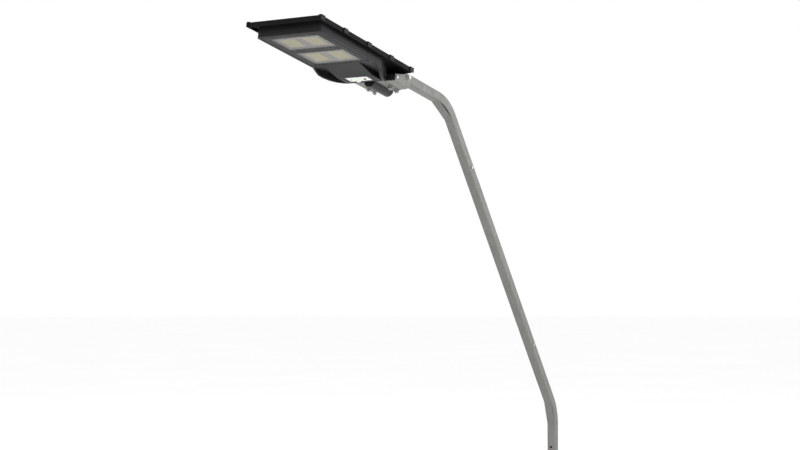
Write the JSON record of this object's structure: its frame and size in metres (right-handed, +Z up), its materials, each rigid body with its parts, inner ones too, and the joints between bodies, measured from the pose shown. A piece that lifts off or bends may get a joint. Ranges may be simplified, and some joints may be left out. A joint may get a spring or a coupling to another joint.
{
  "type": "solar street lamp",
  "caption": "Solar street lamp: a flat solar panel over a slim LED housing with a motion sensor, tilting on a square-tube arm that bends down to a wall or post.",
  "frame": {"origin": "midway between the two wall bolt holes, on the back face of the arm's foot", "axes": "+X out of the arm's back face towards the wall, +Z up, so the lamp reaches along -X; Y runs across the lamp, which sits beside the arm on the +Y side"},
  "size_m": [1.5642, 0.253, 1.4719],
  "materials": {
    "galvanised": "hot-dip galvanised, satin",
    "zinc": "bright zinc plated",
    "sleeve_steel": "plain zinc plated",
    "plug_plastic": "moulded",
    "plate_steel": "zinc plated sheet",
    "cast_black": "black powder coat",
    "housing_black": "moulded, fine texture",
    "seal_rubber": "soft",
    "tail_black": "moulded",
    "lens_clear": "clear, smooth",
    "reflector_white": "white, glossy",
    "board_white": "white solder mask",
    "led_yellow": "yellow phosphor coat",
    "heat_aluminium": "rolled",
    "cell_wrap": "shrink wrap",
    "cradle_plastic": "moulded",
    "board_green": "green solder mask",
    "spacer_white": "nylon",
    "component_black": "moulded",
    "strip_white": "moulded",
    "dome_white": "translucent",
    "light_green": "clear green",
    "button_black": "soft",
    "frame_black": "black anodised",
    "lug_black": "moulded",
    "sheet_white": "laminate",
    "cell_blue": "silicon",
    "cover_glass": "clear, smooth"
  },
  "bodies": {
    "arm": {"arm_upper": "galvanised", "arm_middle": "galvanised", "arm_lower": "galvanised", "joint_sleeve_upper": "sleeve_steel", "joint_sleeve_lower": "sleeve_steel", "joint_screws": "zinc", "foot_plug": "plug_plastic", "pivot_bolt": "zinc", "pivot_washers": "zinc", "pivot_nut": "zinc"},
    "head": {"bracket": "plate_steel", "bracket_cheek": "plate_steel", "channel_plug": "plug_plastic", "channel_bolt": "zinc", "channel_nut": "zinc", "saddle": "cast_black", "clamp_bolts": "zinc", "clamp_washers": "zinc", "clamp_nuts": "zinc", "housing": "housing_black", "house_seal": "seal_rubber", "tail": "tail_black", "tail_screws": "zinc", "lens_front": "lens_clear", "lens_rear": "lens_clear", "lens_gasket_front": "seal_rubber", "lens_gasket_rear": "seal_rubber", "reflector_front": "reflector_white", "reflector_rear": "reflector_white", "led_board_front": "board_white", "led_board_rear": "board_white", "led_fields_front": "led_yellow", "led_fields_rear": "led_yellow", "heat_plate": "heat_aluminium", "heat_plate_posts": "housing_black", "heat_plate_screws": "zinc", "battery_cells": "cell_wrap", "battery_cradle": "cradle_plastic", "battery_strips": "zinc", "battery_bridge": "zinc", "controller_board": "board_green", "board_spacers": "spacer_white", "controller_parts": "component_black", "sensor_strip": "strip_white", "motion_dome": "dome_white", "sensor_board": "board_green", "motion_sensor": "zinc", "status_light": "light_green", "panel_frame": "frame_black", "frame_lugs": "lug_black", "back_sheet": "sheet_white", "solar_cells": "cell_blue", "panel_glass": "cover_glass"},
    "button": {"push_button": "button_black"}
  },
  "joints": [
    {"name": "tilt", "type": "hinge", "parent": "arm", "child": "head", "pos_m": [-1.0507, 0, 1.25108], "axis": [0, 1, 0], "range_deg": [0, 15]},
    {"name": "button_press", "type": "slide", "parent": "head", "child": "button", "axis": [0.1736, 0, 0.9848], "range_m": [0, 0.0015], "stiffness_N_per_m": 400, "springref_m": -0.002}
  ]
}
